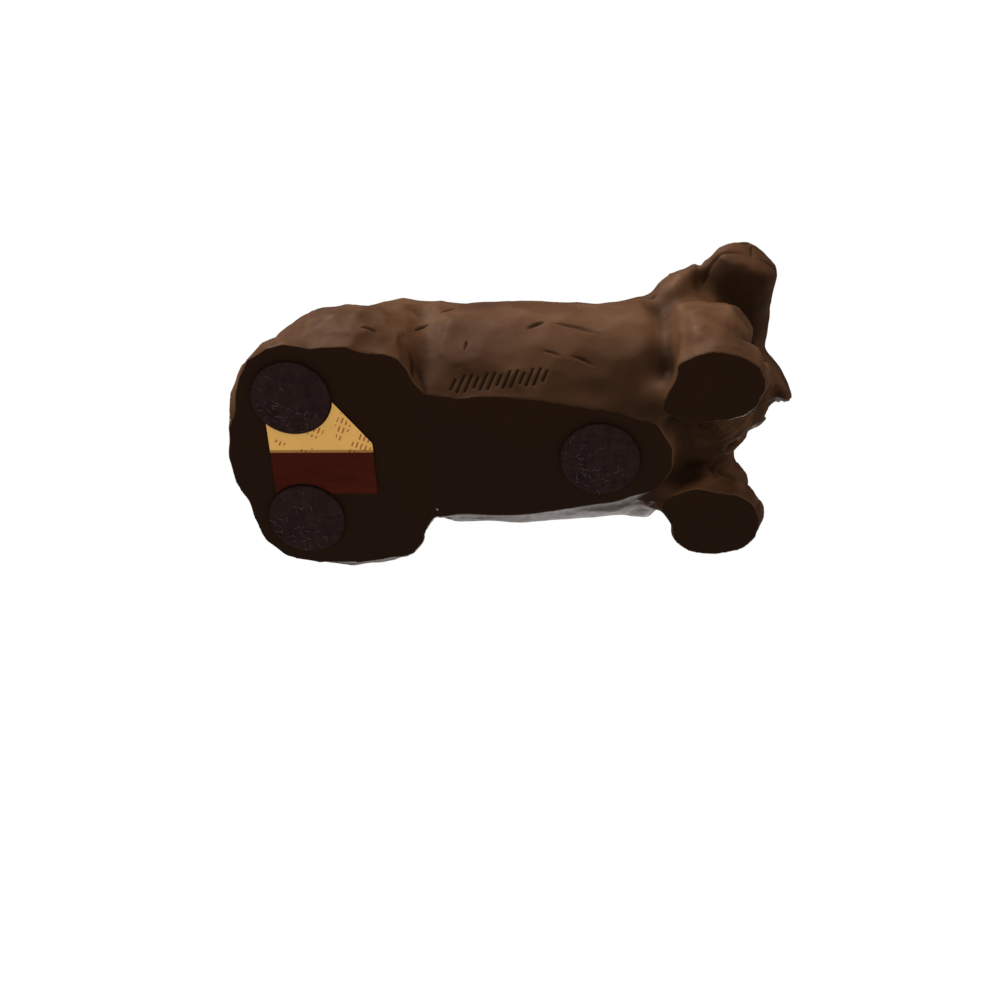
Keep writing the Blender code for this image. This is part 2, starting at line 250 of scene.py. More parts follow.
class DachshundPads(bpy.types.PropertyGroup):
    """Sizes and colours of the felt pads."""

    felt: bpy.props.FloatVectorProperty(
        name="Felt", description="Colour of the felt", subtype="COLOR", default=(0.0125, 0.0056, 0.0054))
    fluff: bpy.props.FloatVectorProperty(
        name="Fluff", description="Colour of the pale fluff on the felt", subtype="COLOR",
        default=(0.16, 0.12, 0.12))
    fluff_count: bpy.props.IntProperty(
        name="Fluff threads", description="Loose threads on each pad", default=34)
    unevenness: bpy.props.FloatProperty(
        name="Unevenness", description="Height of the felt's lumps", default=0.16 * MM, unit="LENGTH")


class DachshundSticker(bpy.types.PropertyGroup):
    """Colours of the paper sticker."""

    paper: bpy.props.FloatVectorProperty(
        name="Paper", description="Colour of the paper", subtype="COLOR", default=(0.80, 0.45, 0.125))
    band: bpy.props.FloatVectorProperty(
        name="Band", description="Colour of the dark band", subtype="COLOR", default=(0.034, 0.0030, 0.0015))
    ink: bpy.props.FloatVectorProperty(
        name="Ink", description="Colour of the short strokes", subtype="COLOR", default=(0.20, 0.045, 0.015))


class DachshundStage(bpy.types.PropertyGroup):
    """Floor, light and air round the figure."""

    floor: bpy.props.FloatVectorProperty(
        name="Floor", description="Colour of the floor", subtype="COLOR", default=(0.535, 0.535, 0.53))
    air: bpy.props.FloatProperty(
        name="Air light", description="Strength of the light from all round", default=0.75)
    gloss: bpy.props.FloatProperty(
        name="Air gloss", description="Strength of that light in reflections", default=0.04)
    key: bpy.props.FloatProperty(
        name="Key light", description="Strength of the lamp on the right flank", default=2.9)


class Wire:
    """A node's output; its operators add Math nodes, so that finishes read as sums."""

    def __init__(self, finish, socket):
        self.finish = finish
        self.socket = socket

    def maths(self, operation, first, second=0.0):
        return self.finish.node("ShaderNodeMath", {"operation": operation}, {0: first, 1: second})[0]

    def __add__(self, other):
        return self.maths("ADD", self, other)

    def __radd__(self, other):
        return self.maths("ADD", other, self)

    def __sub__(self, other):
        return self.maths("SUBTRACT", self, other)

    def __rsub__(self, other):
        return self.maths("SUBTRACT", other, self)

    def __mul__(self, other):
        return self.maths("MULTIPLY", self, other)

    def __rmul__(self, other):
        return self.maths("MULTIPLY", other, self)

    def __truediv__(self, other):
        return self.maths("DIVIDE", self, other)

    def __gt__(self, other):
        return self.maths("GREATER_THAN", self, other)

    def __lt__(self, other):
        return self.maths("LESS_THAN", self, other)

    def fraction(self):
        return self.maths("FRACT", self)


class Finish:
    """The nodes of a material, or of the air round the figure."""

    def __init__(self, owner):
        if isinstance(owner, str):
            owner = bpy.data.materials.new(owner)
            owner.use_nodes = True
        self.owner = owner
        self.tree = owner.node_tree
        self.tree.nodes.clear()

    @property
    def place(self):
        """Place on the piece, the same however it is turned."""
        return self.node("ShaderNodeTexCoord", {}, {})["Object"]

    def node(self, kind, settings, sockets):
        """Add a node of a type with its settings, then the values or wires of its sockets."""
        made = self.tree.nodes.new(kind)
        for name, value in settings.items():
            if name == "stops":
                self.set_stops(made.color_ramp, value)
            else:
                setattr(made, name, value)
        for key, value in sockets.items():
            if isinstance(value, Wire):
                self.tree.links.new(value.socket, made.inputs[key])
            else:
                made.inputs[key].default_value = value
        outputs = {socket.name: Wire(self, socket) for socket in made.outputs}
        outputs.update({index: Wire(self, socket) for index, socket in enumerate(made.outputs)})
        return outputs

    @staticmethod
    def set_stops(ramp, stops):
        while len(ramp.elements) < len(stops):
            ramp.elements.new(1.0)
        for element, (position, colour) in zip(ramp.elements, stops):
            element.position = position
            element.color = colour

    def cloud(self, scale, detail=3.0, stretch=(1.0, 1.0, 1.0)):
        """Soft random value; a stretch below 1 draws it out along that axis."""
        place = self.node("ShaderNodeMapping", {}, {"Vector": self.place, "Scale": stretch})["Vector"]
        sockets = {"Vector": place, "Scale": scale, "Detail": detail}
        return self.node("ShaderNodeTexNoise", {}, sockets)["Fac"]

    def mark(self, name):
        """Value that the mesh carries at its points."""
        return self.node("ShaderNodeAttribute", {"attribute_name": name}, {})["Fac"]

    def grade(self, value, low, high):
        """Bring a value's range from low..high to 0..1, and hold it there."""
        sockets = {"Value": value, "From Min": low, "From Max": high}
        return self.node("ShaderNodeMapRange", {"clamp": True}, sockets)[0]

    def ramp(self, value, stops):
        stops = [(position, (*colour, 1.0)) for position, colour in stops]
        return self.node("ShaderNodeValToRGB", {"stops": stops}, {"Fac": value})["Color"]

    def mix(self, share, first, second):
        """Colour that goes from the first to the second as the share goes from 0 to 1."""
        colours = [item if isinstance(item, Wire) else (*item, 1.0) for item in (first, second)]
        sockets = {0: share, 6: colours[0], 7: colours[1]}
        return self.node("ShaderNodeMix", {"data_type": "RGBA"}, sockets)[2]

    def bump(self, height, strength, distance):
        sockets = {"Height": height, "Strength": strength, "Distance": distance}
        return self.node("ShaderNodeBump", {}, sockets)["Normal"]

    def close(self, sockets):
        """Feed the shader and end the material."""
        shader = self.node("ShaderNodeBsdfPrincipled", {}, sockets)["BSDF"]
        self.node("ShaderNodeOutputMaterial", {}, {"Surface": shader})
        return self.owner


def resin_finish(skin):
    """Dark cast resin: a tone for each cut, painted shade in the hollows, in the cuts and on skin that looks
    down, rubbed ridges.
    """
    finish = Finish("dark carved resin")
    height = finish.node("ShaderNodeSeparateXYZ", {}, {"Vector": finish.place})["Z"]
    base = height < BASE_HEIGHT + 0.05 * MM
    side = 1.0 - base
    streaks = finish.cloud(150.0, 4.0, (0.35, 1.0, 1.0))
    patches = finish.cloud(38.0, 2.0, (1.0, 1.0, 0.6))
    tone = 0.5 + (finish.mark("cut_tone") * 0.16 + patches * 0.95 + streaks * 0.55 - 0.75) * side
    cut = finish.ramp(tone, [(0.22, skin.resin_dark), (0.5, skin.resin_mid), (0.78, skin.resin_light)])
    mottled = finish.grade(finish.cloud(700.0, 2.0), 0.35, 0.75)
    ridge = finish.grade(finish.mark("ridge") + mottled * 0.08, 0.12, 0.60) * side
    worn = finish.mix(ridge * 0.28, cut, skin.rubbed)
    # Painted shade in the hollows, found much as occlusion would find them
    hollow = finish.grade(finish.mark("hollow"), 0.12, 1.0) * side
    hollows_and_cuts_shaded = finish.mix(hollow * 0.85, worn, skin.painted_shade)
    # Painted shade, darker still, in the cuts and grooves and in the spots round the elbow
    hollows_and_cuts_shaded = finish.mix(finish.mark("nick") * side, hollows_and_cuts_shaded, [channel * 0.35 for channel in skin.painted_shade])
    # Painted shade on skin that looks down
    shaded = finish.mix(finish.mark("underneath") * 0.9, hollows_and_cuts_shaded, skin.underside_and_shade)
    # The flat underside takes this darker colour, partly its own and partly painted shade
    below = finish.mix(base, shaded, skin.underside_and_shade)
    dust = finish.node("ShaderNodeTexVoronoi", {}, {"Vector": finish.place, "Scale": 80.0})
    speck = (dust["Distance"] < 0.026) * 0.35
    dusted = finish.mix(speck, below, (0.50, 0.46, 0.41))
    relief = finish.cloud(1500.0, 3.0) * 0.6 + finish.cloud(420.0, 2.0, (0.25, 1.0, 1.0)) * 0.4
    return finish.close({
        "Base Color": dusted,
        "Roughness": 0.58 - ridge * 0.10 + mottled * 0.08 + base * 0.15,
        "Specular IOR Level": 0.13,
        "Specular Tint": (1.0, 0.62, 0.38, 1.0),
        "Normal": finish.bump(relief, 0.12, 0.08 * MM),
    })


def felt_finish(pads):
    """Pressed felt, matted and dark."""
    finish = Finish("dark brown felt")
    lengthwise = finish.cloud(1100.0, 5.0, (1.0, 0.35, 1.0))
    crosswise = finish.cloud(1300.0, 5.0, (0.35, 1.0, 1.0))
    fibres = lengthwise * 0.5 + crosswise * 0.5
    lumps = finish.cloud(260.0, 3.0)
    paler = [channel * 2.6 for channel in pads.felt]
    colour = finish.ramp(fibres * 0.7 + lumps * 0.3, [(0.38, pads.felt), (0.72, paler)])
    return finish.close({
        "Base Color": colour,
        "Roughness": 0.96,
        "Specular IOR Level": 0.04,
        "Sheen Weight": 0.05,
        "Sheen Roughness": 0.6,
        "Sheen Tint": (0.62, 0.42, 0.38, 1.0),
        "Normal": finish.bump(fibres, 0.8, 0.20 * MM),
    })


def fluff_finish(pads):
    """Pale threads caught on the felt."""
    finish = Finish("pale fluff")
    colour = finish.mix(finish.cloud(900.0), pads.felt, pads.fluff)
    return finish.close({"Base Color": colour, "Roughness": 0.9, "Specular IOR Level": 0.1})


def paper_finish(label):
    """Cream paper with a dark band and rows of plain strokes."""
    finish = Finish("printed cream paper")
    axes = finish.node("ShaderNodeSeparateXYZ", {}, {"Vector": finish.place})
    x, y = axes["X"], axes["Y"]
    mottled = finish.cloud(300.0, 4.0)
    paper = finish.mix(mottled * 0.35, label.paper, (0.52, 0.25, 0.055))
    along = (x + y * 0.45) / (1.15 * MM)
    row = (y - x * 0.45) / (2.6 * MM)
    printed = finish.cloud(130.0, 1.0) > 0.5
    stroke = (along.fraction() < 0.34) * (row.fraction() > 0.35) * printed
    inked = finish.mix(stroke * (mottled > 0.47) * 0.8, paper, label.ink)
    in_band = y > -1.6 * MM
    near_band = (y > -2.3 * MM) - in_band
    lined = finish.mix(near_band * 0.7, inked, (0.16, 0.05, 0.012))
    streak = finish.mix(finish.cloud(420.0, 4.0, (0.3, 1.0, 1.0)), label.band, (0.075, 0.010, 0.003))
    return finish.close({
        "Base Color": finish.mix(in_band, lined, streak),
        "Roughness": 0.50 + mottled * 0.2,
        "Specular IOR Level": 0.05,
        "Normal": finish.bump(mottled, 0.15, 0.03 * MM),
    })


def floor_finish(stage):
    """Pale floor, seen from above only, so that a camera below sees the underside."""
    finish = Finish("pale floor")
    colour = finish.mix(finish.cloud(3.0), stage.floor, [channel * 0.97 for channel in stage.floor])
    solid = finish.node("ShaderNodeBsdfDiffuse", {}, {"Color": colour})["BSDF"]
    clear = finish.node("ShaderNodeBsdfTransparent", {}, {})["BSDF"]
    back = finish.node("ShaderNodeNewGeometry", {}, {})["Backfacing"]
    both = finish.node("ShaderNodeMixShader", {}, {0: back, 1: solid, 2: clear})[0]
    finish.node("ShaderNodeOutputMaterial", {}, {"Surface": both})
    return finish.owner


def finished_piece(name, form, material, node=None):
    """Object at the origin for a finished shape, riding on the figure's body."""
    mesh = bpy.data.meshes.new(name)
    form.to_mesh(mesh)
    form.free()
    return finished_mesh(name, mesh, material, node)


def finished_mesh(name, mesh, material, node=None):
    """Object at the origin for a finished mesh, riding on the figure's body."""
    mesh.name = name
    mesh.materials.clear()
    mesh.materials.append(material)
    piece = bpy.data.objects.new(name, mesh)
    bpy.context.scene.collection.objects.link(piece)
    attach(piece, "root")
    if node:
        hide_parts(node)
    return piece


def camera_matrix():
    """Place and turn of the photograph's camera."""
    turn = (
        Matrix.Rotation(CAMERA_AZIMUTH, 4, "Z")
        @ Matrix.Rotation(math.pi / 2 - CAMERA_ELEVATION, 4, "X")
        @ Matrix.Rotation(CAMERA_ROLL, 4, "Z")
    )
    back = turn.to_3x3().col[2]
    return Matrix.Translation(CAMERA_AIM + back * CAMERA_AWAY) @ turn


class Skin:
    """The casting's skin while it is carved, with a search tree over its points."""

    def __init__(self, form, hollows):
        self.form = form
        self.hollows = hollows
        self.tone = form.verts.layers.float.new("cut_tone")
        # Marks where shade is painted: in cuts and grooves, and in spots round the elbow
        self.nick = form.verts.layers.float.new("nick")
        self.settle()

    def settle(self):
        """Bring normals, places and the tree up to date after a stage of carving."""
        self.form.normal_update()
        self.form.verts.ensure_lookup_table()
        self.form.verts.index_update()
        self.tree = KDTree(len(self.form.verts))
        for vert in self.form.verts:
            self.tree.insert(vert.co, vert.index)
        self.tree.balance()
        self.surface = BVHTree.FromBMesh(self.form)

    def near(self, point, reach):
        for _, index, _ in self.tree.find_range(point, reach):
            yield self.form.verts[index]

    def seen(self, pixel):
        """Point of the skin that the camera sees at a pixel of the photograph."""
        camera = camera_matrix()
        across = (pixel[0] - PHOTO_SIDE / 2) / FOCAL_LENGTH
        down = (pixel[1] - PHOTO_SIDE / 2) / FOCAL_LENGTH
        ray = camera.to_3x3() @ Vector((across, -down, -1.0))
        return self.surface.ray_cast(camera.translation, ray.normalized())[0]

    def refine(self, points, reach):
        """Split the faces near some points, so that fine cuts read."""
        chosen = {edge for point in points for vert in self.near(point, reach) for edge in vert.link_edges}
        bmesh.ops.subdivide_edges(self.form, edges=list(chosen), cuts=1, use_grid_fill=True)
        self.settle()

    def soften(self, middle, reach, rounds):
        """Round off the skin near a point."""
        for _ in range(rounds):
            bmesh.ops.smooth_vert(
                self.form, verts=list(self.near(middle, reach)), factor=0.5,
                use_axis_x=True, use_axis_y=True, use_axis_z=True)
        self.settle()

    def press(self, path, width, depth, lift=2.0 * MM, sharp=False, dark=0.0, taper=False):
        """Press a channel into the skin along a path; a minus depth raises a ridge.

        The channel takes in skin up to its lift above or below the path. It can be V-shaped,
        darkened with painted shade by a share, and tapered to both ends.
        """
        line = KDTree(len(path))
        for index, point in enumerate(path):
            line.insert(point, index)
        line.balance()
        touched = {vert.index for point in path for vert in self.near(point, width + lift)}
        moves = []
        for index in sorted(touched):
            vert = self.form.verts[index]
            close, step, _ = line.find(vert.co)
            offset = vert.co - close
            height = offset.dot(vert.normal)
            full = math.sin(math.pi * (step + 0.5) / len(path)) ** 0.6 if taper else 1.0
            aside = (offset - vert.normal * height).length / (width * (0.4 + 0.6 * full))
            if aside < 1.0 and abs(height) < lift:
                share = ((1.0 - aside) if sharp else (1.0 - aside ** 2) ** 2) * full
                moves.append((vert, vert.normal * (depth * share)))
                # Painted shade: the channel's skin is marked to be darkened by its share
                vert[self.nick] = max(vert[self.nick], dark * share)
        for vert, move in moves:
            vert.co -= move

    def cut_facets(self, long, depth, lean, draw, squeeze, tone_share):
        """Cut shallow facets at scattered places; where the skin is round they come out flat."""
        squeeze = Vector((squeeze, 1.0, 1.0))
        starts = [vert.co.copy() for vert in self.form.verts]
        normals = [vert.normal.copy() for vert in self.form.verts]
        tree = KDTree(len(starts))
        for index, start in enumerate(starts):
            tree.insert(start * squeeze, index)
        tree.balance()
        order = list(range(len(starts)))
        draw.shuffle(order)
        free = [True] * len(order)
        drops = [0.0] * len(order)
        tones = [0.5] * len(order)
        for chosen in order:
            if not free[chosen]:
                continue
            start, normal = starts[chosen], normals[chosen]
            reach = long * cut_size(start)
            for _, close, _ in tree.find_range(start * squeeze, reach * draw.uniform(*CUT_SPACINGS)):
                free[close] = False
            slope = Vector((draw.uniform(-1, 1), draw.uniform(-1, 1), draw.uniform(-1, 1))) * lean
            deep = depth * cut_size(start) * draw.uniform(*CUT_DEPTHS)
            tone = draw.random()
            for _, close, _ in tree.find_range(start * squeeze, CUT_REACH * reach):
                facing = normals[close].dot(normal)
                if facing < CUT_FACING:
                    continue
                offset = starts[close] - start
                height = offset.dot(normal)
                away = (offset * squeeze).length_squared - height ** 2
                drop = (away / (2 * CUT_HOLLOW) + slope.dot(offset) - deep - min(height, 0.0)) / facing
                if drop < drops[close]:
                    drops[close] = drop
                    tones[close] = tone
        middle = sum(drops) / len(drops)
        for vert, start, drop, normal, tone, hollow in zip(
                self.form.verts, starts, drops, normals, tones, self.hollows):
            share = cut_share(start) * (1.0 - hollow)
            vert.co = start + normal * ((drop - middle) * share)
            vert[self.tone] += (tone - 0.5) * tone_share * share
        self.settle()

    def shade_spot(self, pixel, reach, dark):
        """Paint shade softly onto the skin round the place seen at a pixel."""
        middle = self.seen(pixel)
        for vert in self.near(middle, reach):
            share = (1.0 - ((vert.co - middle).length / reach) ** 2) ** 2
            vert[self.nick] = max(vert[self.nick], dark * share)

    def laid(self, path):
        """The path laid on the skin, each point where the skin is nearest."""
        return [self.surface.find_nearest(point)[0] for point in path]

    def from_side(self, start, heading):
        """Point of the skin met first from a place outside it, in millimetres."""
        return self.surface.ray_cast(Vector(start) * MM, Vector(heading))[0]


def step_up(value, low, high):
    """Share that goes smoothly from 0 to 1 as the value goes from low to high, in millimetres."""
    share = min(1.0, max(0.0, (value / MM - low) / (high - low)))
    return share * share * (3 - 2 * share)


def cut_size(place):
    """Knife cuts are longest on the flanks and smallest on the head and the paws."""
    flank = step_up(place.x, -20, -8) * (1.0 - step_up(place.x, 26, 34))
    head = step_up(place.x, 40, 46) * step_up(place.z, 38, 44)
    paws = step_up(place.x, 38, 44) * step_up(-place.z, -16, -8)
    return 1.0 + 0.5 * flank - 0.35 * max(head, paws)


def cut_share(place):
    """Knife cuts are boldest on the haunches, and softest on the flanks and the head."""
    flank = step_up(place.x, -20, -8) * (1.0 - step_up(place.x, 24, 34))
    head = step_up(place.x, 38, 46) * step_up(place.z, 38, 44)
    return 0.9 - 0.5 * flank - 0.4 * head


def curve(points, per_leg=16):
    """Points along a smooth line through a few places given in millimetres."""
    places = [Vector(point) * MM for point in points]
    ends = [2 * places[0] - places[1], *places, 2 * places[-1] - places[-2]]
    line = []
    for before, start, end, after in zip(ends, ends[1:], ends[2:], ends[3:]):
        for step in range(per_leg):
            t = step / per_leg
            line.append(
                start
                + (end - before) * (t / 2)
                + (3 * (end - start) - (end - before) - (after - start) / 2) * t ** 2
                + ((end - before) / 2 + (after - start) / 2 - 2 * (end - start)) * t ** 3
            )
    line.append(places[-1])
    return line


def straight(start, end, count=10, bow=0.0):
    """Points from start to end, bowed upwards in the middle by a share of the length."""
    rise = Vector((0, 0, (end - start).length * bow))
    return [
        start.lerp(end, step / count) + rise * math.sin(math.pi * step / count)
        for step in range(count + 1)
    ]


def on_head(point, side=1):
    """Place in the figure, in millimetres, for one given on the head, or for its mirror image."""
    return tuple(HEAD_MATRIX @ Vector((point[0], side * point[1], point[2])))


def even_skin(skin):
    """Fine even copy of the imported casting, with its walls carried on below the base."""
    form = bmesh.new()
    form.from_mesh(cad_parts["dachshund_casting"].data)
    bmesh.ops.remove_doubles(form, verts=form.verts, dist=MERGE_REACH)
    base = [face for face in form.faces if face.calc_center_median().z < BASE_HEIGHT + 0.02 * MM]
    lowered = bmesh.ops.extrude_face_region(form, geom=base)["geom"]
    down = [item for item in lowered if isinstance(item, bmesh.types.BMVert)]
    bmesh.ops.delete(form, geom=base, context="FACES")
    bmesh.ops.translate(form, vec=(0, 0, -WALLS_BELOW), verts=down)
    bmesh.ops.recalc_face_normals(form, faces=form.faces)
    mesh = bpy.data.meshes.new("even_skin")
    form.to_mesh(mesh)
    form.free()
    rough = bpy.data.objects.new("even_skin", mesh)
    bpy.context.scene.collection.objects.link(rough)
    fuse = rough.modifiers.new("fuse", "REMESH")
    fuse.mode = "VOXEL"
    fuse.voxel_size = skin.grain
    soften = rough.modifiers.new("soften", "SMOOTH")
    soften.factor = 0.5
    soften.iterations = 6
    even = bpy.data.meshes.new_from_object(rough.evaluated_get(bpy.context.evaluated_depsgraph_get()))
    bpy.data.objects.remove(rough, do_unlink=True)
    bpy.data.meshes.remove(mesh)
    return even


def carve_fur(skin, draw):
    """Fine locks down the chest, between the forelegs."""
    for lock in range(LOCK_COUNT):
        y = LOCK_SPREAD * (lock / (LOCK_COUNT - 1) - 0.5)
        sway = draw.uniform(-0.7, 0.7)
        top = LOCK_TOP - draw.uniform(0, 6) - 0.05 * y * y
        foot = LOCK_FOOT + draw.uniform(0, 3)
        path = []
        for step in range(41):
            share = step / 40
            aside = y * (1.05 - 0.2 * share) + sway * math.sin(math.pi * share)
            met = skin.from_side((90, aside, top + (foot - top) * share), (-1, 0, 0))
            if met and met.x > 44 * MM:
                path.append(met)
        if path:
            skin.press(path, 0.62 * MM, draw.uniform(0.28, 0.46) * MM, 1.2 * MM, sharp=True)


def hidden_nicks(skin, draw):
    """Short nicks on the back and the left side, like those on the right."""
    nicks = []
    for _ in range(HIDDEN_NICKS):
        on_left = draw.random() < 0.5
        turn = draw.uniform(-0.5, 0.5)
        half = Vector((math.cos(turn), math.sin(turn) * (not on_left), math.sin(turn) * on_left))
        half *= draw.uniform(1.2, 3.0)
        if on_left:
            place, heading = Vector((draw.uniform(-52, 30), 90, draw.uniform(10, 40))), (0, -1, 0)
        else:
            place, heading = Vector((draw.uniform(-52, 30), draw.uniform(-14, 14), 90)), (0, 0, -1)
        start = skin.from_side(place - half, heading)
        end = skin.from_side(place + half, heading)
        if start and end:
            nicks.append((straight(start, end, 32, 0.06), draw.uniform(0.5, 0.75), draw.uniform(0.25, 0.45)))
    return nicks


def carve_paws(skin):
    """Toes of the forepaws and the hind feet."""
    for side in (-1, 1):
        for toe in (-TOE_ASIDE, TOE_ASIDE):
            middle = side * PAW_SIDE + toe
            rise = [skin.from_side((90, middle, 1 + 0.5 * step), (-1, 0, 0)) for step in range(21)]
            paw = [met for met in rise if met and met.x > PAW_FRONT * MM]
            skin.press(paw, 1.3 * MM, 0.7 * MM, 5 * MM, taper=True)
            middle = side * FOOT_SIDE + toe
            foot = skin.laid(curve([(-18, middle, 2), (-20, middle, 6), (-25, middle, 9)]))
            skin.press(foot, 1.3 * MM, 0.6 * MM, 3 * MM, taper=True)


def carve_eye(skin, side):
    """One eye: a shallow socket, a rim with the ball inside it, and the upper lid."""
    place = Vector(on_head(EYE_MIDDLE, side)) * MM
    skin.refine([place], 5 * MM)
    middle, facing, _, _ = skin.surface.find_nearest(place)
    across = Vector((0, 0, 1)).cross(facing).normalized() * MM
    up = facing.cross(across)
    turns = [math.tau * step / EYE_POINTS for step in range(EYE_POINTS)]
    rim = [middle + across * (EYE_LONG * math.cos(turn)) + up * (EYE_HIGH * math.sin(turn)) for turn in turns]
    ball = skin.laid(straight(middle - across * 0.7, middle + across * 0.7))
    lid = [(middle + across * x + up * z) / MM for x, z in LID_LINE]
    rim, lid = skin.laid(rim), skin.laid(curve(lid))
    skin.press(ball, 4.0 * MM, 0.45 * MM, 4 * MM)
    # The rim is darkened with painted shade
    skin.press(rim, 0.6 * MM, 0.35 * MM, 2 * MM, dark=0.5)
    skin.press(ball, 1.5 * MM, -0.35 * MM, 2 * MM)
    skin.press(lid, 0.9 * MM, -0.35 * MM, 2 * MM, taper=True)


def carve_head(skin):
    """Eyes, mouth, nostrils and the groove between nose and lip, darkened with painted shade."""
    for side in (-1, 1):
        carve_eye(skin, side)
        # The mouth and the nostrils are darkened with painted shade
        mouth = [on_head(place, side) for place in MOUTH_LINE]
        skin.press(skin.laid(curve(mouth)), 0.8 * MM, 0.45 * MM, 2 * MM, dark=0.45, taper=True)
        nostril = [on_head(place, side) for place in NOSTRIL_LINE]
        skin.press(skin.laid(curve(nostril, 8)), 0.8 * MM, 0.5 * MM, 3 * MM, dark=0.8)
    # The lip groove is darkened with painted shade
    lip = [on_head(place) for place in LIP_LINE]
    skin.press(skin.laid(curve(lip)), 0.6 * MM, 0.3 * MM, 2 * MM, dark=0.4)


def carve_tail(skin):
    """Crease between the tail and the haunch, and the tail's rounded back."""
    # The crease is darkened a little with painted shade
    skin.press(skin.laid(curve(TAIL_CREASE)), 1.9 * MM, 0.8 * MM, 4 * MM, dark=0.08, taper=True)
    skin.press(skin.laid(curve(TAIL_BACK)), 3.2 * MM, -0.5 * MM, 4 * MM, taper=True)


def ear_edge(stations, across, ahead):
    """Edge of an ear, before its middle line or behind it."""
    if ahead:
        return [Vector(place) + Vector(across) * before for place, _, before in stations]
    return [Vector(place) + Vector(across) * -behind for place, behind, _ in stations]


def carve_ears(skin):
    """Creases along the ears' edges, darkened with painted shade, and spots of painted shade below the right
    one.
    """
    edges = (
        ear_edge(LEFT_EAR, LEFT_EAR_ACROSS, True),
        ear_edge(RIGHT_EAR, RIGHT_EAR_ACROSS, True),
        ear_edge(RIGHT_EAR, RIGHT_EAR_ACROSS, False),
    )
    for edge in edges:
        # The creases are darkened with painted shade
        skin.press(skin.laid(curve(edge)), 1.6 * MM, 0.8 * MM, 3 * MM, dark=0.15, taper=True)
    # Spots of painted shade round the elbow
    for pixel, reach, dark in SHADE_SPOTS:
        skin.shade_spot(pixel, reach * MM, dark)


def carve_strokes(skin, draw):
    """Nicks of the knife, and a row of plain strokes low on the right flank, all darkened with painted shade.
    """
    nicks = []
    for start, end, width, depth in NICKS:
        nicks.append((straight(skin.seen(start), skin.seen(end), 40, 0.08), width, depth))
    nicks += hidden_nicks(skin, draw)
    for reach in NICK_REACHES:
        skin.refine([point for path, _, _ in nicks for point in skin.laid(path)], reach * MM)
    for path, width, depth in nicks:
        # The nicks are darkened with painted shade
        skin.press(skin.laid(path), width * MM, depth * MM, sharp=True, dark=0.8, taper=True)
    step = (STROKES_TO - STROKES_FROM) / (STROKE_COUNT - 1)
    for index in range(STROKE_COUNT):
        middle = STROKES_FROM + step * index
        reach = Vector((STROKE_LEAN, -STROKE_HALF)) * (1.0 if index % 3 else 0.6)
        path = straight(skin.seen(middle - reach), skin.seen(middle + reach), 24)
        # The strokes are darkened with painted shade
        skin.press(path, STROKE_WIDTH * MM, STROKE_DEPTH * MM, sharp=True, dark=1.3)


def flatten_base(form):
    """Cut the skin flat at the base, with a narrow chamfer round it."""
    for height in (BASE_HEIGHT + CHAMFER_HIGH, BASE_HEIGHT):
        geometry = [*form.verts, *form.edges, *form.faces]
        at_base = height == BASE_HEIGHT
        cut = bmesh.ops.bisect_plane(
            form, geom=geometry, plane_co=(0, 0, height), plane_no=(0, 0, -1), clear_outer=at_base,
            dist=0.01 * MM)
    form.normal_update()
    rim = [item for item in cut["geom_cut"] if isinstance(item, bmesh.types.BMEdge)]
    pulls = {}
    for edge in rim:
        for vert in edge.verts:
            pulls[vert] = Vector((vert.normal.x, vert.normal.y, 0.0)).normalized() * CHAMFER_IN
    for vert, pull in pulls.items():
        vert.co -= pull
    bmesh.ops.edgeloop_fill(form, edges=rim)
    bmesh.ops.recalc_face_normals(form, faces=form.faces)


def read_mesh(mesh):
    """Points, normals and links of a mesh, and a function that averages each point's neighbours."""
    count = len(mesh.vertices)
    points = np.empty(count * 3)
    mesh.vertices.foreach_get("co", points)
    normals = np.empty(count * 3)
    mesh.vertices.foreach_get("normal", normals)
    edges = np.empty(len(mesh.edges) * 2, dtype=int)
    mesh.edges.foreach_get("vertices", edges)
    edges = edges.reshape(-1, 2)
    both = np.vstack([edges, edges[:, ::-1]])
    links = np.maximum(np.bincount(both[:, 0], minlength=count), 1)

    def average(values):
        return np.bincount(both[:, 0], weights=values[both[:, 1]], minlength=count) / links

    return points.reshape(-1, 3), normals.reshape(-1, 3), both, average


def dips(points, normals, average, rounds):
    """How far the skin lies below its surroundings at each point, in millimetres."""
    soft = points.copy()
    for _ in range(rounds):
        for axis in range(3):
            soft[:, axis] = average(soft[:, axis])
    return np.einsum("ij,ij->i", soft - points, normals) / MM


def hollow_share(mesh):
    """Share from 0 to 1 of how hollow the skin is at each point, where knife cuts would fold it."""
    points, normals, _, average = read_mesh(mesh)
    share = np.clip(dips(points, normals, average, HOLLOW_SHARE_ROUNDS) / 0.45, 0, 1)
    for _ in range(4):
        share = np.maximum(share, average(share))
    for _ in range(6):
        share = average(share)
    return share.tolist()


def mark_bends(mesh):
    """Keep at each point how far the skin is a ridge or a hollow there, or looks down; the hollows and the
    skin that looks down get painted shade.
    """
    points, normals, both, average = read_mesh(mesh)
    offset = points[both[:, 1]] - points[both[:, 0]]
    long = np.linalg.norm(offset, axis=1) + 1e-9
    dip = -np.einsum("ij,ij->i", offset, normals[both[:, 0]]) / long
    count = len(points)
    bend = np.bincount(both[:, 0], weights=dip, minlength=count) / np.bincount(both[:, 0], minlength=count)
    for _ in range(2):
        bend = 0.5 * bend + 0.5 * average(bend)
    near_dip = dips(points, normals, average, NEAR_ROUNDS)
    wide_dip = dips(points, normals, average, WIDE_ROUNDS)
    ridge = np.clip(bend * 2.2 - 0.5 * near_dip, 0, 1)
    # The hollow mark sets where shade is painted into the hollows
    hollow = np.clip(0.9 * near_dip + 0.32 * wide_dip, 0, 1)
    # Skin that looks down gets painted shade, as if no light reached it from below
    low = np.clip((-normals[:, 2] - 0.15) / 0.75, 0, 1)
    for _ in range(6):
        low = average(low)
    for name, values in (("ridge", ridge), ("hollow", hollow), ("underneath", low)):
        mesh.attributes.new(name, "FLOAT", "POINT").data.foreach_set("value", values.astype(np.float32))


